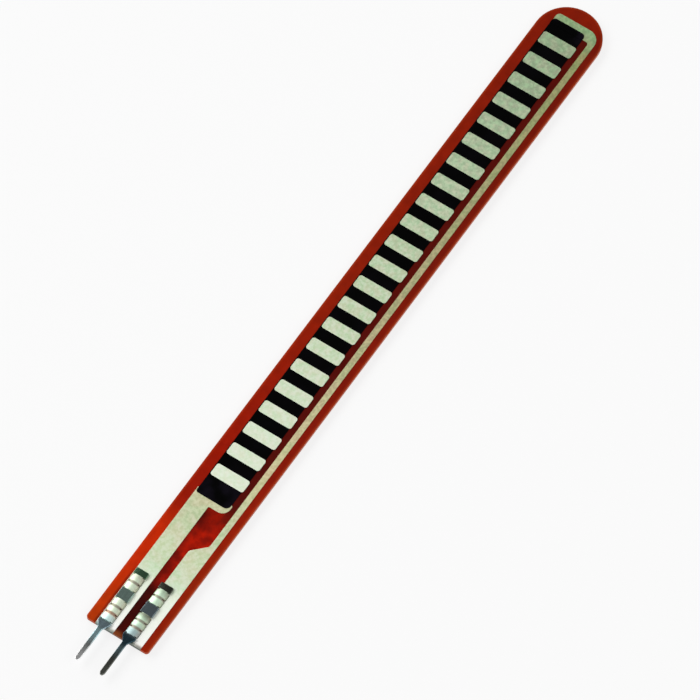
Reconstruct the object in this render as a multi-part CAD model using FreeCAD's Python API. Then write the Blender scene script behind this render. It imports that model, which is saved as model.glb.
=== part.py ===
import FreeCAD, Part
import os
from math import sin, sqrt, tan

# Flex sensor strip: a plastic film with printed silver leads, a carbon strip crossed by silver
# segments, and two stamped terminals crimped through the film. Lengths are in millimetres.
# X runs along the strip towards its round tip, Y across it, Z up out of the printed side.
# Places along the strip count from the film's square end, places across from its centre line.

# Film
film_length = 73.66
film_width = 6.35
film_thickness = 0.36
film_corner_radius = 0.3

# Printed leads
silver_thickness = 0.03
feed_margin = 1.00           # bare film between the edge and the feed lead
return_margin = 0.71         # bare film between the other edge and the return lead
lead_gap = 0.98              # bare film between the two leads
trace_width = 0.56
return_pad_length = 10.05    # wide part of the return lead, before it slopes down to the trace
slope_radius = 0.4
feed_bar_start = 14.47
feed_bar_visible = 0.62
feed_bar_reach = 0.12        # how far the feed bar passes the carbon's edge
feed_bar_radius = 0.8
bar_overlap = 0.55           # what each bar has under the carbon
tip_margin = 1.40            # bare film between the tip and the return bar
tip_bar_visible = 0.65
tip_bar_reach = -0.05        # how far the return bar passes the carbon's far edge
tip_bar_outer_radius = 1.15
tip_bar_inner_radius = 0.3
tip_bar_end_radius = 0.4
print_radius = 0.12          # soft corner that a screen print has

# Carbon strip and the silver segments across it
carbon_thickness = 0.03
carbon_margin = 1.075        # bare film between the feed side's edge and the carbon
carbon_clearance = 0.64      # between the carbon and the return trace
carbon_start_radius = 0.25
carbon_turn_radius = 0.5     # the corner that the feed bar curls round
carbon_end_radius = 0.4
step_run = 0.08              # carbon that runs down to the film beside each bar
segment_count = 22
segment_gap = 1.19
segment_margin = 1.165       # bare film between the feed side's edge and the segments
segment_clearance = 0.545    # between the segments and the return trace
segment_radius = 0.22
lower_pad = 2.055            # plain carbon before the first segment
upper_pad = 1.60             # plain carbon after the last one

# Stamped terminals
terminal_pitch = 2.54
terminal_offset = 0.375      # middle of the pair from the middle of the gap between the leads
stock = 0.20
plate_width = 1.24
plate_radius = 0.10
edge_break = 0.03            # what stamping takes off the upper edges
tail_reach = 3.85            # how far a tail stands out of the film's square end
tail_width = 0.46
tail_tip_width = 0.22
tail_tip_length = 0.24
shoulder_out = 0.30          # where the taper to the plate begins, outside the film
shoulder_in = 0.35           # where it ends, over the film
first_crimp = 0.60
claw_pairs = (3, 2)          # in each crimped stretch
mid_bar = 1.12               # flat plate between the crimped stretches
end_bar = 0.63
claw_width = 0.66
claw_tip_width = 0.26
relief_width = 0.09          # slot beside each claw
bend_radius = 0.24           # outside of the bend at the head of a claw
crown_radius = 1.10          # upper face where the punch arches the plate
curl_gap = 0.10              # inside the curl under the film
curl_drop = 0.02             # centre of the curl below the film's back
slit_clearance = 0.02
dent_depth = 0.06            # how far the claws press into the film's back
dent_margin = 0.05

coincident = 1e-6            # points closer than this are one

# Heights, from the lowest point of the claws
curl_radius = stock + curl_gap / 2
curl_centre = curl_radius
film_back = curl_centre + curl_drop
film_top = film_back + film_thickness
plate_bottom = film_top + silver_thickness

# Places worked out from the sizes above
film_end = tail_reach - (tail_reach + film_length) / 2
half_film = film_width / 2
half_plate = plate_width / 2
bend_start = half_plate - bend_radius
lead_width = (film_width - feed_margin - return_margin - lead_gap) / 2
feed_outer = half_film - feed_margin
feed_inner = feed_outer - lead_width
return_outer = return_margin - half_film
return_inner = return_outer + lead_width
terminal_middle = (feed_inner + return_inner) / 2 + terminal_offset
trace_inner = return_outer + trace_width
carbon_low = trace_inner + carbon_clearance
carbon_high = half_film - carbon_margin
segment_low = trace_inner + segment_clearance
segment_high = half_film - segment_margin
carbon_start = feed_bar_start + feed_bar_visible
tip_bar_end = film_length - tip_margin
carbon_end = tip_bar_end - tip_bar_visible
crimp_starts = []
plate_end = first_crimp
for pairs in claw_pairs:
    crimp_starts.append(plate_end)
    crimp_length = pairs * (claw_width + relief_width) + relief_width
    plate_end += crimp_length + (mid_bar if len(crimp_starts) < len(claw_pairs) else end_bar)


def rounded_face(corners, z):
    """Flat face at height z, from corners given as (x from the film's end, y, radius)."""
    points = [FreeCAD.Vector(film_end + x, y, z) for x, y, _ in corners]
    joints = []
    for i, point in enumerate(points):
        radius = corners[i][2]
        back = (points[i - 1] - point).normalize()
        ahead = (points[(i + 1) % len(points)] - point).normalize()
        half_angle = back.getAngle(ahead) / 2
        middle = point + (back + ahead).normalize() * (radius / sin(half_angle) - radius)
        reach = radius / tan(half_angle)
        joints.append((point + back * reach, middle, point + ahead * reach))
    edges = []
    for i, (start, middle, end) in enumerate(joints):
        before = joints[i - 1][2]
        if before.distanceToPoint(start) > coincident:
            edges.append(Part.makeLine(before, start))
        if start.distanceToPoint(end) > coincident:
            edges.append(Part.Arc(start, middle, end).toShape())
    return Part.Face(Part.Wire(Part.__sortEdges__(edges)))


def layer(corners, z, thickness):
    return rounded_face(corners, z).extrude(FreeCAD.Vector(0, 0, thickness))


def rectangle(x_low, x_high, y_low, y_high, radius):
    corners = ((x_low, y_low), (x_high, y_low), (x_high, y_high), (x_low, y_high))
    return [(x, y, radius) for x, y in corners]


def block(x_low, x_high, y_low, y_high, z_low, z_high):
    corner = FreeCAD.Vector(film_end + x_low, y_low, z_low)
    return Part.makeBox(x_high - x_low, y_high - y_low, z_high - z_low, corner)


def mirrored(shape):
    return shape.fuse(shape.mirror(FreeCAD.Vector(0, 0, 0), FreeCAD.Vector(0, 1, 0)))


def claw_places():
    """Low end of every claw along the strip."""
    places = []
    for start, pairs in zip(crimp_starts, claw_pairs):
        places += [start + relief_width + i * (claw_width + relief_width) for i in range(pairs)]
    return places


def crimp_ends():
    return [(start, start + pairs * (claw_width + relief_width) + relief_width)
            for start, pairs in zip(crimp_starts, claw_pairs)]


# Section of a crimped stretch, seen along the strip. The plate is arched, and each claw bends down
# through the film, curls inwards and presses its tip up into the film's back.
inner_crown = crown_radius - stock
inner_side = half_plate - stock
crown_centre = plate_bottom - sqrt(inner_crown ** 2 - bend_start ** 2)
bend_centre = crown_centre + sqrt((crown_radius - bend_radius) ** 2 - bend_start ** 2)
curl_middle = half_plate - curl_radius
tip_outer = curl_middle - curl_radius
tip_inner = tip_outer + stock
tip_top = film_back + dent_depth


def claw_section(x):
    """Right half of a claw's section as a face at x, from the plate's centre to the claw's tip."""
    def at(y, z):
        return FreeCAD.Vector(film_end + x, y, z)

    def direction(sideways, radius):
        """Unit vector from a circle's centre to its point that lies so far sideways."""
        return 0, sideways / radius, sqrt(1 - (sideways / radius) ** 2)

    def arc(y, z, radius, start, end):
        start, end = FreeCAD.Vector(*start), FreeCAD.Vector(*end)
        centre, middle = at(y, z), (start + end).normalize()
        return Part.Arc(centre + start * radius, centre + middle * radius, centre + end * radius).toShape()

    up, out, down, inwards = (0, 0, 1), (0, 1, 0), (0, 0, -1), (0, -1, 0)
    leaning = direction(bend_start, crown_radius - bend_radius)
    inner_lean = direction(inner_side, inner_crown)
    inner_top = crown_centre + inner_crown * inner_lean[2]
    inside = [(tip_outer, curl_centre), (tip_outer, tip_top), (tip_inner, tip_top), (tip_inner, stock),
              (inner_side, stock), (inner_side, inner_top)]
    edges = [
        arc(0, crown_centre, crown_radius, up, leaning),
        arc(bend_start, bend_centre, bend_radius, leaning, out),
        Part.makeLine(at(half_plate, bend_centre), at(half_plate, curl_centre)),
        arc(curl_middle, curl_centre, curl_radius, out, down),
        arc(curl_middle, curl_centre, curl_radius, down, inwards),
    ]
    edges += [Part.makeLine(at(*start), at(*end)) for start, end in zip(inside, inside[1:])]
    edges.append(arc(0, crown_centre, inner_crown, inner_lean, up))
    edges.append(Part.makeLine(at(0, crown_centre + inner_crown), at(0, crown_centre + crown_radius)))
    return Part.Face(Part.Wire(edges))


def claw(x):
    """One pair of claws with the arched plate between them, each claw narrowed to its tip."""
    half = claw_section(x).extrude(FreeCAD.Vector(claw_width, 0, 0))
    inset = (claw_width - claw_tip_width) / 2
    for side, sense in ((x, 1), (x + claw_width, -1)):
        corners = [(side, inner_side, 0), (side + sense * inset, tip_outer, 0), (side, tip_outer, 0)]
        half = half.cut(layer(corners, 0, tip_top))
    return mirrored(half)


def arched_spine(x_low, x_high):
    """Arched middle of a crimped stretch, which the claws hang on."""
    centre = FreeCAD.Vector(film_end + x_low, 0, crown_centre)
    along = FreeCAD.Vector(1, 0, 0)
    outer = Part.makeCylinder(crown_radius, x_high - x_low, centre, along)
    inner = Part.makeCylinder(inner_crown, x_high - x_low, centre, along)
    spine = block(x_low, x_high, -bend_start, bend_start, crown_centre, crown_centre + crown_radius)
    return outer.cut(inner).common(spine)


def terminal(y):
    half_tail, half_tip = tail_width / 2, tail_tip_width / 2
    upper = [(plate_end, half_plate, plate_radius), (shoulder_in, half_plate, plate_radius),
             (-shoulder_out, half_tail, plate_radius), (tail_tip_length - tail_reach, half_tail, 0),
             (-tail_reach, half_tip, 0)]
    outline = upper + [(x, -side, radius) for x, side, radius in reversed(upper)]
    plate = layer(outline, plate_bottom, stock)
    upper_edges = [edge for edge in plate.Edges if edge.BoundBox.ZMin > plate_bottom + stock / 2]
    plate = plate.makeChamfer(edge_break, upper_edges)
    plate_top = plate_bottom + stock
    for x_low, x_high in crimp_ends():
        plate = plate.cut(block(x_low, x_high, -half_plate, half_plate, plate_bottom, plate_top))
    pieces = [arched_spine(x_low, x_high) for x_low, x_high in crimp_ends()]
    pieces += [claw(x) for x in claw_places()]
    whole = plate.multiFuse(pieces).removeSplitter()
    whole.translate(FreeCAD.Vector(0, y, 0))
    return whole


def claw_slits(y):
    """Slits that the claws cut down through the print and the film."""
    slits = []
    for x in claw_places():
        x_low, x_high = x - slit_clearance, x + claw_width + slit_clearance
        for side in (-1, 1):
            y_low, y_high = sorted((y + side * bend_start, y + side * (half_plate + slit_clearance)))
            slits.append(block(x_low, x_high, y_low, y_high, 0, plate_bottom))
    return slits


def crimp_dents(y):
    """Shallow dents that the curled claws press into the film's back."""
    reach = half_plate + dent_margin
    return [block(x_low, x_high, y - reach, y + reach, 0, tip_top) for x_low, x_high in crimp_ends()]


def feed_outline():
    bar_end = carbon_start + bar_overlap
    low = carbon_low - feed_bar_reach
    return [(0, feed_inner, 0), (feed_bar_start, feed_inner, print_radius),
            (feed_bar_start, low, feed_bar_radius), (bar_end, low, print_radius),
            (bar_end, feed_outer, print_radius), (0, feed_outer, 0)]


def return_outline():
    slope = return_inner - trace_inner
    bar_start = carbon_end - bar_overlap
    high = carbon_high + tip_bar_reach
    return [(0, return_outer, 0), (tip_bar_end, return_outer, tip_bar_outer_radius),
            (tip_bar_end, high, tip_bar_end_radius), (bar_start, high, print_radius),
            (bar_start, trace_inner, tip_bar_inner_radius),
            (return_pad_length + slope, trace_inner, slope_radius),
            (return_pad_length, return_inner, slope_radius), (0, return_inner, 0)]


def carbon_strip(traces):
    """Carbon printed after the leads, so it steps up over the two bars that feed it."""
    outline = [(carbon_start, carbon_low, carbon_turn_radius),
               (carbon_end, carbon_low, carbon_end_radius),
               (carbon_end, carbon_high, carbon_end_radius),
               (carbon_start, carbon_high, carbon_start_radius)]
    strip = layer(outline, film_top, carbon_thickness)
    raised = layer(outline, film_top, silver_thickness + carbon_thickness)
    step = bar_overlap + step_run
    for x_low, x_high in ((carbon_start, carbon_start + step), (carbon_end - step, carbon_end)):
        over_bar = block(x_low, x_high, carbon_low, carbon_high, film_top, plate_bottom + carbon_thickness)
        strip = strip.fuse(raised.common(over_bar))
    return strip.cut(traces).removeSplitter()


def segments(carbon):
    """Silver segments printed last. Each one lies on the carbon and laps over its edge."""
    ladder_start = carbon_start + lower_pad
    ladder_length = carbon_end - upper_pad - ladder_start
    length = (ladder_length - (segment_count - 1) * segment_gap) / segment_count
    made = []
    for i in range(segment_count):
        x = ladder_start + i * (length + segment_gap)
        outline = rectangle(x, x + length, segment_low, segment_high, segment_radius)
        made.append(layer(outline, film_top, carbon_thickness + silver_thickness).cut(carbon))
    return made


def film():
    outline = [(0, -half_film, film_corner_radius), (film_length, -half_film, half_film),
               (film_length, half_film, half_film), (0, half_film, film_corner_radius)]
    return layer(outline, film_back, film_thickness)


terminal_places = {"feed_terminal": terminal_middle + terminal_pitch / 2,
                   "return_terminal": terminal_middle - terminal_pitch / 2}
slits = [slit for y in terminal_places.values() for slit in claw_slits(y)]
dents = [dent for y in terminal_places.values() for dent in crimp_dents(y)]
feed_whole = layer(feed_outline(), film_top, silver_thickness)
return_whole = layer(return_outline(), film_top, silver_thickness)
carbon = carbon_strip([feed_whole, return_whole])

parts = {
    "base_film": film().cut(slits + dents),
    "feed_trace": feed_whole.cut(slits),
    "return_trace": return_whole.cut(slits),
    "resistive_strip": carbon,
}
for number, segment in enumerate(segments(carbon), 1):
    parts[f"conductor_segment_{number:02d}"] = segment
for name, place in terminal_places.items():
    parts[name] = terminal(place)

os.makedirs("parts", exist_ok=True)
for name, shape in parts.items():
    solid = shape.Solids[0]
    print(name, len(shape.Solids), shape.isValid(), round(solid.Volume, 4))
    shape.exportStep(f"parts/{name}.step")
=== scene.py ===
from math import cos, radians, sin

import bmesh
import bpy
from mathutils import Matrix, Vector


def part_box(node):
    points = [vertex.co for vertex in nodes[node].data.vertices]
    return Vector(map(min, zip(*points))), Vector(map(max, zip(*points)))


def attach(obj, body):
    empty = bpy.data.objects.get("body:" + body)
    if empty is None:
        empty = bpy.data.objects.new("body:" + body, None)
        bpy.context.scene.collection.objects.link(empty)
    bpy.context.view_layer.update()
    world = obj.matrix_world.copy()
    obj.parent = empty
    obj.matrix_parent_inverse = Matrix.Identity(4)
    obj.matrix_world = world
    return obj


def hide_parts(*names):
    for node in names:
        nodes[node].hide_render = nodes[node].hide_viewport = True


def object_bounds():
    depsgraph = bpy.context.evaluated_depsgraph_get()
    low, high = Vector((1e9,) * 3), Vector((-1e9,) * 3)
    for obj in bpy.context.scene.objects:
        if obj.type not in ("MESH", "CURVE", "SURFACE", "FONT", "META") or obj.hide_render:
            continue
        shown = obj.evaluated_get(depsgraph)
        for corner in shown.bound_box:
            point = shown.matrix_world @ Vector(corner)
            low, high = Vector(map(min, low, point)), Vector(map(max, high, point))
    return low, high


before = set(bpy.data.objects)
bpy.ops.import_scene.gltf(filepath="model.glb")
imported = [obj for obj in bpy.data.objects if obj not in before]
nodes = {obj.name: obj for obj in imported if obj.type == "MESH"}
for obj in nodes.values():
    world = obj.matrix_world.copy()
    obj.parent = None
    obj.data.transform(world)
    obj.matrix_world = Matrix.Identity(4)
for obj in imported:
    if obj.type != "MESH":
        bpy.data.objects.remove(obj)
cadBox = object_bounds()  # the bare model's box, before anything is dressed
mm = 0.001
filmLow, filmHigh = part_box("base_film")
carbonLow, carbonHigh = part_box("resistive_strip")
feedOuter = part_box("feed_trace")[1].y        # outer edge of the feed lead
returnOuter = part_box("return_trace")[0].y    # and of the return lead
squareEnd = filmLow.x                        # the end with the contacts
segments = sorted(name for name in nodes if name.startswith("conductor_segment_"))
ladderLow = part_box(segments[0])[0].x
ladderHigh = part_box(segments[-1])[1].x
print("frame loaded,", len(nodes), "nodes")


def ink(red, green, blue):
    # a colour picked on screen, 0 to 255, turned into the linear values that shaders use
    linear = []
    for level in (red, green, blue):
        share = level / 255
        linear.append(share / 12.92 if share <= 0.04045 else ((share + 0.055) / 1.055) ** 2.4)
    return (*linear, 1)


class Wire:
    # one output socket of a node tree; plain sums on it add Math nodes
    def __init__(self, graph, socket):
        self.graph = graph
        self.socket = socket

    def math(self, operation, first, second):
        return self.graph.node("ShaderNodeMath", {"operation": operation}, {0: first, 1: second})

    def __add__(self, other):
        return self.math("ADD", self, other)

    def __sub__(self, other):
        return self.math("SUBTRACT", self, other)

    def __rsub__(self, other):
        return self.math("SUBTRACT", other, self)

    def __mul__(self, other):
        return self.math("MULTIPLY", self, other)

    def __truediv__(self, other):
        return self.math("DIVIDE", self, other)

    def __pow__(self, other):
        return self.math("POWER", self, other)

    def above(self, floor):
        # itself, but never less than floor
        return self.math("MAXIMUM", self, floor)

    def away(self, pitch):
        # distance from the nearest whole step of pitch
        return self.math("PINGPONG", self, pitch / 2)

    __radd__ = __add__
    __rmul__ = __mul__


class Graph:
    # a node tree that is filled by calls
    def __init__(self, tree):
        self.tree = tree

    def node(self, kind, settings=None, inputs=None, out=0):
        made = self.tree.nodes.new(kind)
        for key, value in (settings or {}).items():
            if key == "stops":
                self.setStops(made.color_ramp, value)
            else:
                setattr(made, key, value)
        for key, value in (inputs or {}).items():
            self.plug(made.inputs[key], value)
        return Wire(self, made.outputs[out])

    def setStops(self, ramp, stops):
        while len(ramp.elements) < len(stops):
            ramp.elements.new(0.5)
        for element, (place, colour) in zip(ramp.elements, stops):
            element.position = place
            element.color = colour

    def plug(self, socket, value):
        if isinstance(value, Wire):
            self.tree.links.new(value.socket, socket)
        else:
            socket.default_value = value

    def split(self, vector):
        # x, y and z of a vector
        parts = self.node("ShaderNodeSeparateXYZ", inputs={"Vector": vector})
        return [Wire(self, socket) for socket in parts.socket.node.outputs]

    def place(self):
        # the point on the piece, with its x and y, in metres
        where = self.node("ShaderNodeTexCoord", out="Object")
        return where, *self.split(where)[:2]

    def noise(self, where, size, detail, stretch=(1, 1, 1)):
        # soft noise from 0 to 1 whose blobs are about size across
        scaled = self.node("ShaderNodeMapping", inputs={"Vector": where, "Scale": stretch})
        settings = {"Vector": scaled, "Scale": 1 / size, "Detail": detail}
        return self.node("ShaderNodeTexNoise", inputs=settings)

    def slide(self, value, low, high):
        # 0 below low, 1 above high, straight between
        span = {"Value": value, "From Min": low, "From Max": high, "To Min": 0.0, "To Max": 1.0}
        return self.node("ShaderNodeMapRange", inputs=span)

    def rise(self, value, low, high):
        # the same, with a smooth start and end
        span = {"Value": value, "From Min": low, "From Max": high, "To Min": 0.0, "To Max": 1.0}
        return self.node("ShaderNodeMapRange", {"interpolation_type": "SMOOTHSTEP"}, span)

    def past(self, value, line, soft):
        # 0 before the line, 1 past it, fading over soft on both sides
        return self.rise(value, line - soft, line + soft)

    def band(self, value, low, high, soft):
        # 1 between low and high, fading over soft at both ends
        return self.past(value, low, soft) * (1 - self.past(value, high, soft))

    def ramp(self, stops, share):
        return self.node("ShaderNodeValToRGB", {"stops": stops}, {"Fac": share})

    def blend(self, share, first, second, mode="MIX"):
        # a Mix node keeps its colours on sockets 6 and 7, and their mix on output 2
        settings = {"data_type": "RGBA", "blend_type": mode}
        return self.node("ShaderNodeMix", settings, {0: share, 6: first, 7: second}, out=2)

    def speckle(self, body, spread, layer, mode="OVERLAY"):
        # darkens and lightens what is below it, by a layer's tones
        return self.blend(layer["share"], body, self.blend(spread, *layer["tones"]), mode)


class Finish(Graph):
    # a material that is built round its Principled shader
    def __init__(self, name, surface):
        self.material = bpy.data.materials.new(name)
        self.material.use_nodes = True
        super().__init__(self.material.node_tree)
        self.shader = self.tree.nodes["Principled BSDF"]
        self.paint(surface)

    def paint(self, surface):
        for key, value in surface.items():
            self.plug(self.shader.inputs[key], value)

    def bump(self, height, depth):
        settings = {"Height": height, "Distance": depth, "Strength": 1.0}
        self.paint({"Normal": self.node("ShaderNodeBump", inputs=settings)})


# Camera and light

view = {
    "azimuth": -56.41,     # degrees, 0 looks along +Y
    "elevation": 61.88,
    "distance": 702.8 * mm,
    "lens": 417.8,
    "aim": (-1.057 * mm, -1.337 * mm, 0.63 * mm),
    "nearest": 0.01,       # what is seen lies between these distances, in metres
    "farthest": 20,
}


def addCamera():
    turn, lift = radians(view["azimuth"]), radians(view["elevation"])
    back = Vector((sin(turn) * cos(lift), -cos(turn) * cos(lift), sin(lift)))
    lens = bpy.data.cameras.new("camera")
    lens.lens = view["lens"]
    lens.clip_start = view["nearest"]
    lens.clip_end = view["farthest"]
    camera = bpy.data.objects.new("camera", lens)
    camera.location = Vector(view["aim"]) + back * view["distance"]
    camera.rotation_mode = "QUATERNION"
    camera.rotation_quaternion = (-back).to_track_quat("-Z", "Y")
    bpy.context.scene.collection.objects.link(camera)
    bpy.context.scene.camera = camera
    bpy.context.scene.view_settings.view_transform = "Standard"


studio = {
    "feedWall": 1.0,       # brightness of the room low down on the feed side
    "returnWall": 0.45,    # and on the other side
    "wallTurn": 0.5,       # how softly one side passes into the other
    "overhead": 0.16,      # right above, a dark panel keeps the print from glaring
    "panelEdge": (0.35, 0.8),
    "lamps": {
        "left softbox": {"at": (-0.05, 0.46, 0.42), "size": (0.7, 0.3), "watts": 2.9},
        "right softbox": {"at": (0.05, -0.42, 0.42), "size": (0.7, 0.3), "watts": 1.3},
    },
}


def addLight():
    world = bpy.data.worlds.new("studio")
    world.use_nodes = True
    bpy.context.scene.world = world
    room = Graph(world.node_tree)
    direction = room.node("ShaderNodeTexCoord", out="Generated")
    sideways, height = room.split(direction)[1:]
    feedSide = room.past(sideways, 0.0, studio["wallTurn"])
    walls = studio["returnWall"] + feedSide * (studio["feedWall"] - studio["returnWall"])
    level = walls - room.rise(height, *studio["panelEdge"]) * (walls - studio["overhead"])
    background = world.node_tree.nodes["Background"]
    room.plug(background.inputs["Color"], (1, 1, 1, 1))
    room.plug(background.inputs["Strength"], level)
    for name, lamp in studio["lamps"].items():
        light = bpy.data.lights.new(name, "AREA")
        light.shape = "RECTANGLE"
        light.size, light.size_y = lamp["size"]
        light.energy = lamp["watts"]
        holder = bpy.data.objects.new(name, light)
        holder.location = lamp["at"]
        holder.rotation_mode = "QUATERNION"
        holder.rotation_quaternion = (-Vector(lamp["at"])).to_track_quat("-Z", "Y")
        holder.visible_camera = False
        bpy.context.scene.collection.objects.link(holder)


table = {
    "radius": 4.0,
    "sides": 64,
    "surface": {"Base Color": (0.8, 0.8, 0.8, 1), "Roughness": 0.9, "Specular IOR Level": 0.1},
    "whiteness": 0.82,     # how far the eye sees it as plain white
}


def addTable():
    bm = bmesh.new()
    bmesh.ops.create_circle(bm, cap_ends=True, segments=table["sides"], radius=table["radius"])
    bmesh.ops.translate(bm, verts=bm.verts, vec=(0, 0, cadBox[0].z))
    mesh = bpy.data.meshes.new("table")
    bm.to_mesh(mesh)
    bm.free()
    floor = bpy.data.objects.new("table", mesh)
    bpy.context.scene.collection.objects.link(floor)
    paper = Finish("table paper", table["surface"])
    rays = paper.node("ShaderNodeLightPath").socket.node.outputs
    seen = Wire(paper, rays["Is Camera Ray"]) + Wire(paper, rays["Is Glossy Ray"])
    seen = seen + Wire(paper, rays["Is Transmission Ray"])
    white = paper.node("ShaderNodeEmission", inputs={"Strength": 1.0})
    shaders = {0: seen * table["whiteness"], 1: Wire(paper, paper.shader.outputs["BSDF"]), 2: white}
    mixed = paper.node("ShaderNodeMixShader", inputs=shaders)
    paper.plug(paper.tree.nodes["Material Output"].inputs["Surface"], mixed)
    mesh.materials.append(paper.material)


# Finishes

# The film. Lengths along it are taken from its square end, y is across it.
filmLook = {
    "surface": {"Specular IOR Level": 0.1},
    "roughness": (0.24, 0.16),    # least, and what the scuffs add at most
    "scuffs": {"size": 0.5 * mm, "stretch": (0.3, 1, 1)},
    "waves": {"size": 1.6 * mm, "depth": 0.004 * mm},
    "cloud": {"size": 4 * mm, "share": 0.3, "tones": (ink(96, 60, 60), ink(160, 150, 150))},
    "mottle": {"size": 0.9 * mm, "share": 0.7, "tones": (ink(150, 146, 146), ink(218, 214, 214))},
    # colours from the square end to the tip, and the same for the margin beside the return lead
    "stops": [(0.0, ink(190, 61, 2)), (0.09, ink(203, 47, 0)), (0.145, ink(204, 45, 0)),
              (0.19, ink(160, 24, 0)), (0.26, ink(163, 25, 0)), (0.5, ink(150, 31, 2)),
              (1.0, ink(139, 28, 3))],
    "returnStops": [(0.0, ink(150, 34, 2)), (0.12, ink(156, 35, 2)), (0.19, ink(158, 31, 2)),
                    (0.27, ink(146, 26, 3)), (0.6, ink(127, 24, 4)), (1.0, ink(123, 24, 5))],
    "returnFade": 0.4 * mm,
    # the prints' edges
    "bareStrip": (-0.635 * mm, 0.345 * mm),    # y of the bare film between the leads
    "traceInner": -1.905 * mm,                 # y of the narrow return trace's inner edge
    "slopeMiddle": 11.0 * mm,                  # of the slope that ends the wide return lead
    "slopeReach": 1.0 * mm,                    # from its middle to either end
    # cloudy red between the leads, up to the feed bar
    "window": (ink(150, 18, 1), ink(194, 28, 0)),
    "windowClouds": (0.3, 0.7),                # what of the mottle counts as dark and as light
    "windowEnd": 14.47 * mm,
    "windowFade": 1.0 * mm,
    "windowLap": 0.3 * mm,                     # how far it goes on below the feed lead
    "windowSoft": 0.2 * mm,
    # painted shade: where that is darker, and how much
    "windowShade": ink(66, 8, 2),
    "nearBar": {"span": (11.2 * mm, 13.8 * mm), "share": 0.4},
    "nearFeedLead": {"from": -0.5 * mm, "share": 0.45},
    "thinFlux": {"span": (7.2 * mm, 10.5 * mm), "share": 0.25},
    # painted shade between the contacts, dark brown
    "flux": ink(52, 5, 1),
    "fluxShare": 0.9,
    "fluxSoft": 0.2 * mm,
    "fluxRunsOut": (4.96 * mm, 6.2 * mm),
    "fluxEnd": ink(140, 74, 34),               # lighter and amber where it meets the square end
    "fluxEndFade": (0.1 * mm, 0.7 * mm),
    "seep": {"width": 0.22 * mm, "soft": 0.1 * mm, "share": 0.5},    # painted shade on the film just past the feed lead's outer edge, beside the feed contact
    # darker between the carbon and the return trace
    "shaded": ink(90, 12, 3),
    "shadedSoft": 0.05 * mm,
    # light that gathers along the outline
    "glow": ink(214, 92, 34),
    "glowShare": 0.2,
    "glowFrom": (2.9 * mm, 3.17 * mm),
    # the cut edge, orange, and dark grey-green below the leads near the square end
    "cutEdge": ink(190, 72, 20),
    "inkedEdge": ink(112, 120, 112),
    "inkedSoft": 0.05 * mm,
    "inkedDepth": (0.05 * mm, 0.1 * mm),
    "edgeToFace": (0.2, 0.7),                  # squared upright part of the normal
    # the unprinted face, with the prints faintly behind it
    "back": ink(150, 30, 4),
    "backLit": ink(176, 54, 14),               # where silver shows through it
    "backShaded": ink(104, 16, 4),             # where carbon does
    "backSoft": 0.15 * mm,
    "edgeToBack": (0.1, 0.6),                  # downward part of the normal
}


def filmReach(x, y):
    # how far out towards the strip's outline a point is, as a distance from its middle line
    tipCentre = filmHigh.x - filmHigh.y
    beyond = (x - tipCentre).above(0.0)
    return (beyond * beyond + y * y) ** 0.5


def filmWindow(film, mottle, out, y):
    look = filmLook
    leadEdge = look["bareStrip"][1]
    window = film.blend(film.rise(mottle, *look["windowClouds"]), *look["window"])
    # painted shade towards the feed bar, along the feed lead's edge, and where the painted shade between
    # the contacts trails off
    darker = film.rise(out, *look["nearBar"]["span"]) * look["nearBar"]["share"]
    darker = darker + film.rise(y, look["nearFeedLead"]["from"], leadEdge) * look["nearFeedLead"]["share"]
    darker = darker + (1 - film.rise(out, *look["thinFlux"]["span"])) * look["thinFlux"]["share"]
    return film.blend(darker, window, look["windowShade"])


def filmEdge(film, out, y, flux):
    look = filmLook
    leads = film.band(y, returnOuter, feedOuter, look["inkedSoft"])
    belowLeads = leads * (1 - film.band(y, *look["bareStrip"], look["inkedSoft"]))
    belowLeads = belowLeads * (1 - film.rise(out, *look["inkedDepth"]))
    edge = film.blend(belowLeads, look["cutEdge"], look["inkedEdge"])
    # the painted shade between the contacts meets the cut edge in its lighter amber tone
    return film.blend(flux * (1 - belowLeads), edge, look["fluxEnd"])


def filmBack(film, out, y):
    look = filmLook
    soft = look["backSoft"]
    lowBare, highBare = look["bareStrip"]
    feed = film.band(y, highBare, feedOuter, soft) * (1 - film.past(out, look["windowEnd"], soft))
    pastSlope = film.past(out, look["slopeMiddle"], look["slopeReach"])
    wide = film.band(y, returnOuter, lowBare, soft) * (1 - pastSlope)
    trace = film.band(y, returnOuter, look["traceInner"], soft) * pastSlope
    carbon = film.band(y, carbonLow.y, carbonHigh.y, soft)
    carbon = carbon * film.band(out, carbonLow.x - squareEnd, carbonHigh.x - squareEnd, soft)
    face = film.blend(carbon, look["back"], look["backShaded"])
    return film.blend(feed + wide + trace, face, look["backLit"])


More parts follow.
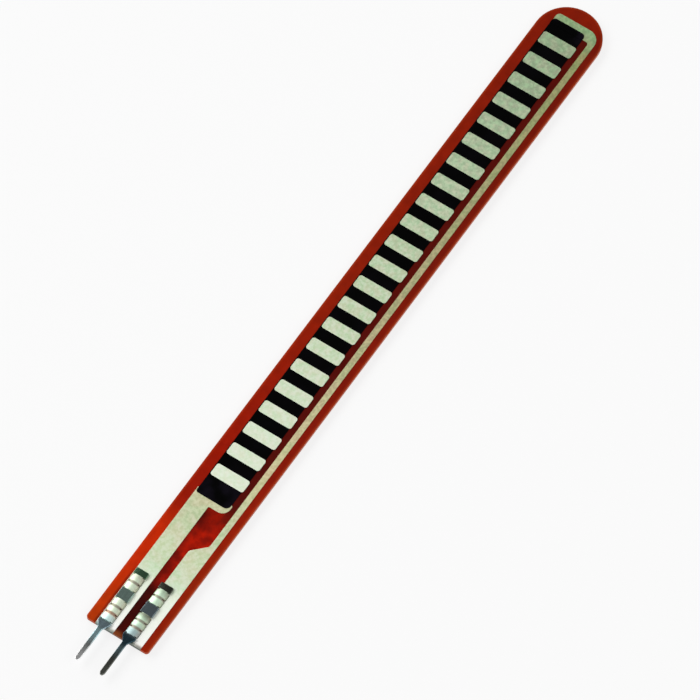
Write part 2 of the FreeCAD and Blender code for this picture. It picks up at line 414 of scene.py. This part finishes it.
def makeFilm():
    look = filmLook
    film = Finish("film", look["surface"])
    where, x, y = film.place()
    out = x - squareEnd
    lowBare, highBare = look["bareStrip"]
    mottle = film.noise(where, look["mottle"]["size"], detail=3)

    along = film.slide(x, filmLow.x, filmHigh.x)
    returnMargin = 1 - film.rise(y, returnOuter, returnOuter + look["returnFade"])
    body = film.blend(returnMargin, film.ramp(look["stops"], along), film.ramp(look["returnStops"], along))

    beforeBar = 1 - film.past(out, look["windowEnd"], look["windowFade"])
    between = film.band(y, returnOuter, highBare + look["windowLap"], look["windowSoft"])
    body = film.blend(beforeBar * between, body, filmWindow(film, mottle, out, y))

    soft = look["shadedSoft"]
    carbonEnd = carbonHigh.x - squareEnd
    shaded = film.band(y, look["traceInner"], carbonLow.y + soft, soft) * (1 - beforeBar)
    shaded = shaded * (1 - film.past(out, carbonEnd + soft, soft))
    body = film.blend(shaded, body, look["shaded"])

    # painted shade between the contacts, lighter and amber at the square end
    soft = look["fluxSoft"]
    seep = look["seep"]
    beforeRunOut = 1 - film.rise(out, *look["fluxRunsOut"])
    flux = film.band(y, lowBare - soft, highBare + soft, soft) * beforeRunOut
    contactShadeTone = film.blend(film.rise(out, *look["fluxEndFade"]), look["fluxEnd"], look["flux"])
    body = film.blend(flux * look["fluxShare"], body, contactShadeTone)
    # painted shade beside the feed contact, past the feed lead's outer edge
    leadSideShaded = film.band(y, feedOuter, feedOuter + seep["width"], seep["soft"]) * beforeRunOut
    body = film.blend(leadSideShaded * seep["share"], body, look["flux"])

    upright = film.split(film.node("ShaderNodeTexCoord", out="Normal"))[2]
    body = film.blend(film.rise(0 - upright, *look["edgeToBack"]), body, filmBack(film, out, y))
    body = film.speckle(body, film.noise(where, look["cloud"]["size"], detail=3), look["cloud"])
    body = film.speckle(body, mottle, look["mottle"])
    glow = film.rise(filmReach(x, y), *look["glowFrom"])
    body = film.blend(glow * look["glowShare"], body, look["glow"])
    cut = 1 - film.rise(upright * upright, *look["edgeToFace"])
    body = film.blend(cut, body, filmEdge(film, out, y, flux))

    scuffs = film.noise(where, look["scuffs"]["size"], detail=4, stretch=look["scuffs"]["stretch"])
    least, added = look["roughness"]
    film.paint({"Base Color": body, "Roughness": least + scuffs * added})
    film.bump(film.noise(where, look["waves"]["size"], detail=2), look["waves"]["depth"])
    return film.material


silverLook = {
    "surface": {"Metallic": 0.15, "Specular IOR Level": 0.25},
    "roughness": (0.42, 0.3),          # least, and what the grain adds at most
    "mesh": 0.1 * mm,                  # pitch of the screen's threads, which mark the ink
    "meshHeight": 0.5,                 # of those marks, beside the grain
    "relief": 0.006 * mm,
    "grain": {"size": 0.06 * mm, "share": 0.25, "tones": (ink(90, 90, 84), ink(166, 166, 160))},
    # uneven spots where the ink dried
    "patch": {"size": 0.28 * mm, "share": 0.55, "tones": (ink(160, 160, 157), ink(212, 212, 209))},
    "patchClouds": (0.3, 0.7),
    # faint green and pink
    "tint": {"share": 0.3, "tones": (ink(150, 196, 148), ink(214, 176, 168))},
    "tintSize": {"leads": 1.1 * mm, "segments": 0.6 * mm},
    "tintClouds": (0.35, 0.65),
    # painted shade along the leads' last stretch at the square end
    "dragged": ink(118, 128, 122),
    "draggedShare": 0.75,
    "draggedFade": (0.05 * mm, 0.4 * mm),
    # colours from the square end to the tip
    "leads": [(0.0, ink(255, 255, 252)), (0.07, ink(242, 250, 236)), (0.1, ink(213, 227, 203)),
              (0.125, ink(217, 224, 200)), (0.18, ink(206, 213, 185)), (0.25, ink(214, 209, 172)),
              (0.5, ink(188, 184, 145)), (0.945, ink(156, 160, 112)), (0.972, ink(154, 180, 138))],
    "segments": [(0.22, ink(232, 241, 224)), (0.5, ink(208, 220, 198)), (0.98, ink(160, 181, 150))],
}


def makeSilver(name):
    look = silverLook
    silver = Finish(name + " ink", look["surface"])
    where, x, y = silver.place()
    body = silver.ramp(look[name], silver.slide(x, filmLow.x, filmHigh.x))
    # painted shade at the square end
    dragged = 1 - silver.rise(x - squareEnd, *look["draggedFade"])
    body = silver.blend(dragged * look["draggedShare"], body, look["dragged"])
    tint = silver.rise(silver.noise(where, look["tintSize"][name], detail=1), *look["tintClouds"])
    body = silver.speckle(body, tint, look["tint"], "SOFT_LIGHT")
    patch = silver.rise(silver.noise(where, look["patch"]["size"], detail=3), *look["patchClouds"])
    body = silver.speckle(body, patch, look["patch"])
    grain = silver.noise(where, look["grain"]["size"], detail=2)
    body = silver.speckle(body, grain, look["grain"])
    threads = (x.away(look["mesh"]) + y.away(look["mesh"])) / look["mesh"]
    least, added = look["roughness"]
    silver.paint({"Base Color": body, "Roughness": least + grain * added})
    silver.bump(threads * look["meshHeight"] + grain, look["relief"])
    return silver.material


carbonLook = {
    "surface": {"Specular IOR Level": 0.02},
    "roughness": (0.55, 0.25),    # least, and what the grain adds at most
    "grain": {"size": 0.05 * mm, "depth": 0.005 * mm},
    "black": ink(2, 2, 2),
    "sheen": ink(14, 11, 19),     # a painted bluish sheen, most on the two end pads
    "sheenSize": 1.8 * mm,
    "sheenClouds": (0.4, 0.7),
    "thinned": 0.2,               # share of that sheen between the segments
    "padFade": 0.2 * mm,
}


def makeCarbon():
    look = carbonLook
    carbon = Finish("carbon ink", look["surface"])
    where, x = carbon.place()[:2]
    # painted sheen: bluish, most on the two end pads, a little between the segments
    pads = 1 - carbon.band(x, ladderLow, ladderHigh, look["padFade"])
    sheenReach = look["thinned"] + pads * (1 - look["thinned"])
    sheen = carbon.rise(carbon.noise(where, look["sheenSize"], detail=2), *look["sheenClouds"])
    body = carbon.blend(sheen * sheenReach, look["black"], look["sheen"])
    grain = carbon.noise(where, look["grain"]["size"], detail=3)
    least, added = look["roughness"]
    carbon.paint({"Base Color": body, "Roughness": least + grain * added})
    carbon.bump(grain, look["grain"]["depth"])
    return carbon.material


# Rolled tin mirrors the dark panel overhead where it is flat, and is bright where it is arched; the base
# colours paint this in too, as painted reflections.
# Places along it are in mm from the square end.
contactLook = {
    "surface": {"Metallic": 1.0},
    "roughness": {"least": 0.2, "arched": 0.32, "rolled": 0.1},
    "rolled": {"size": 0.12 * mm, "stretch": (0.12, 1, 1), "share": 0.3,
               "tones": (ink(92, 92, 94), ink(168, 168, 166))},
    "relief": 0.004 * mm,
    "tailEnd": -3.85,
    "taper": (-0.6, 0.0),          # where the tail widens into the plate
    "shoulderEnd": 0.55,
    "shoulderSoft": 0.25,
    "endBar": (5.6, 5.65),
    # each arched stretch, where it darkens towards the flat beyond it, and its first slot
    "crimps": [{"span": (0.60, 2.94), "fades": (2.2, 2.9), "firstSlot": 0.645},
               {"span": (4.06, 5.65), "fades": (4.9, 5.6), "firstSlot": 4.105}],
    "crimpSoft": 0.04,
    "slotPitch": 0.75,
    "slotMargin": 0.35,            # a slot nearer than this to the end of an arch stays clean
    "slotSoft": 0.1,
    "slotSpread": (0.05, 0.2),     # how far the tarnish of a slot spreads
    # brown at the slots; the same colour along each arch's darker side is painted shade
    "tarnish": ink(130, 96, 74),
    "tarnishShare": {"slots": 0.6, "flank": 0.4},
    "flank": (-0.55 * mm, -0.2 * mm),    # y of the arch's side that has painted shade, from its middle
    "spot": (1.23, 1.5),           # a brownish spot on the first arch
    "spotSoft": 0.1,
    "spotTone": ink(214, 146, 108),
    # Each contact's tones are painted reflections, and the return contact's darker tones are painted shade
    # on the same tin.
    # Its first arch clears from its start tone to crown, both arches fade by their shares, and a darker
    # shoulder begins at darkFrom. The tail's stops start at its tip.
    "feed": {"crown": ink(240, 252, 232), "dulled": ink(232, 255, 252), "clears": (0.9, 1.5),
             "fadeShares": (0.1, 0.25), "fadeTone": ink(130, 96, 74), "darkFrom": -0.3,
             "spotShare": 0.45, "flat": ink(170, 196, 188), "shoulder": ink(170, 194, 202),
             "endBar": ink(98, 140, 108),
             "tail": [(0.1, ink(255, 255, 255)), (0.45, ink(182, 186, 185)), (0.75, ink(204, 235, 241))]},
    "return": {"crown": ink(230, 252, 230), "dulled": ink(198, 218, 218), "clears": (0.9, 2.0),
               "fadeShares": (0.75, 0.35), "fadeTone": ink(118, 120, 92), "darkFrom": -0.6,
               "spotShare": 0.12, "flat": ink(142, 160, 166), "shoulder": ink(66, 94, 106),
               "endBar": ink(88, 90, 80),
               "tail": [(0.1, ink(129, 131, 124)), (0.45, ink(102, 104, 97)), (0.75, ink(129, 154, 160))]},
}


def makeContact(side):
    look = contactLook
    tone = look[side]
    tin = Finish(side + " contact tin", look["surface"])
    where, x, y = tin.place()
    out = (x - squareEnd) / mm

    # painted reflections: the tail, flat, shoulder and end bar tones stand in for what the tin mirrors
    tail = tin.ramp(tone["tail"], tin.slide(out, look["tailEnd"], 0.0))
    body = tin.blend(1 - tin.rise(out, *look["taper"]), tone["flat"], tail)
    shoulder = tin.band(out, tone["darkFrom"], look["shoulderEnd"], look["shoulderSoft"])
    body = tin.blend(shoulder, body, tone["shoulder"])
    body = tin.blend(tin.rise(out, *look["endBar"]), body, tone["endBar"])

    # painted highlight: the arches get the brighter crown tones
    crown = tin.blend(tin.rise(out, *tone["clears"]), tone["dulled"], tone["crown"])
    arches = []
    slots = []
    for crimp, fadeShare in zip(look["crimps"], tone["fadeShares"]):
        low, high = crimp["span"]
        arch = tin.band(out, low, high, look["crimpSoft"])
        fade = tin.rise(out, *crimp["fades"]) * arch * fadeShare
        crown = tin.blend(fade, crown, tone["fadeTone"])
        inside = tin.band(out, low + look["slotMargin"], high - look["slotMargin"], look["slotSoft"])
        fromSlot = (out - crimp["firstSlot"]).away(look["slotPitch"])
        arches.append(arch)
        slots.append((1 - tin.rise(fromSlot, *look["slotSpread"])) * inside)
    arched = sum(arches)
    body = tin.blend(arched, body, crown)
    body = tin.blend(sum(slots) * look["tarnishShare"]["slots"], body, look["tarnish"])
    spot = tin.band(out, *look["spot"], look["spotSoft"])
    body = tin.blend(spot * tone["spotShare"], body, look["spotTone"])

    contactLow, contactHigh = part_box(side + "_terminal")
    middle = (contactLow.y + contactHigh.y) / 2
    # painted shade along each arch's darker side, in the brown of the slots
    flank = 1 - tin.rise(y - middle, *look["flank"])
    body = tin.blend(flank * arched * look["tarnishShare"]["flank"], body, look["tarnish"])
    rolled = tin.noise(where, look["rolled"]["size"], detail=3, stretch=look["rolled"]["stretch"])
    body = tin.speckle(body, rolled, look["rolled"])
    rough = look["roughness"]
    roughness = rough["least"] + arched * rough["arched"] + rolled * rough["rolled"]
    tin.paint({"Base Color": body, "Roughness": roughness})
    tin.bump(rolled, look["relief"])
    return tin.material


# Pieces

pieces = {
    "base_film": {"piece": "film_sheet", "round": 0.02 * mm, "slot": "film"},
    "feed_trace": {"piece": "feed_print", "round": 0.008 * mm, "slot": "silver_ink"},
    "return_trace": {"piece": "return_print", "round": 0.008 * mm, "slot": "silver_ink"},
    "resistive_strip": {"piece": "carbon_print", "round": 0.008 * mm, "slot": "carbon_ink"},
    "feed_terminal": {"piece": "feed_contact", "round": 0.012 * mm, "slot": "tinned_metal"},
    "return_terminal": {"piece": "return_contact", "round": 0.012 * mm, "slot": "tinned_metal"},
}
segmentLook = {"piece": "segment_print_", "round": 0.008 * mm, "slot": "silver_ink"}
softening = {
    "weld": 0.0001 * mm,          # points closer than this are one
    "evenWithin": radians(0.5),   # triangles that lie this even are one face
    "cornerFrom": radians(40),    # edges sharper than this are rounded
    "steps": 2,
    "smoothBelow": radians(20),
}


# A copy of a node with its triangles joined into faces and its outward edges rounded
def soften(name, look, material):
    bm = bmesh.new()
    bm.from_mesh(nodes[name].data)
    bmesh.ops.remove_doubles(bm, verts=bm.verts, dist=softening["weld"])
    bmesh.ops.dissolve_limit(bm, angle_limit=softening["evenWithin"], verts=bm.verts, edges=bm.edges)
    sharp = softening["cornerFrom"]
    corners = [edge for edge in bm.edges if edge.is_convex and edge.calc_face_angle() > sharp]
    bmesh.ops.bevel(bm, geom=corners, offset=look["round"], offset_type="OFFSET", affect="EDGES",
                    segments=softening["steps"], profile=0.5, material=-1, clamp_overlap=True)
    mesh = bpy.data.meshes.new(look["piece"])
    bm.to_mesh(mesh)
    bm.free()
    mesh.materials.clear()
    mesh.materials.append(material)
    mesh.shade_smooth()
    mesh.set_sharp_from_angle(angle=softening["smoothBelow"])
    piece = bpy.data.objects.new(look["piece"], mesh)
    bpy.context.scene.collection.objects.link(piece)
    flatten = piece.modifiers.new("flat faces look flat", "WEIGHTED_NORMAL")
    flatten.keep_sharp = True
    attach(piece, "root")
    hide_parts(name)


addCamera()
addLight()
addTable()
print("camera, light and table are in place")

leadInk = makeSilver("leads")
paints = {
    "base_film": makeFilm(),
    "feed_trace": leadInk,
    "return_trace": leadInk,
    "resistive_strip": makeCarbon(),
    "feed_terminal": makeContact("feed"),
    "return_terminal": makeContact("return"),
}
for name, look in pieces.items():
    soften(name, look, paints[name])
print("film, prints and contacts are dressed")

segmentInk = makeSilver("segments")
for name in segments:
    number = name[-2:]
    soften(name, {**segmentLook, "piece": segmentLook["piece"] + number}, segmentInk)
print("segments are dressed")
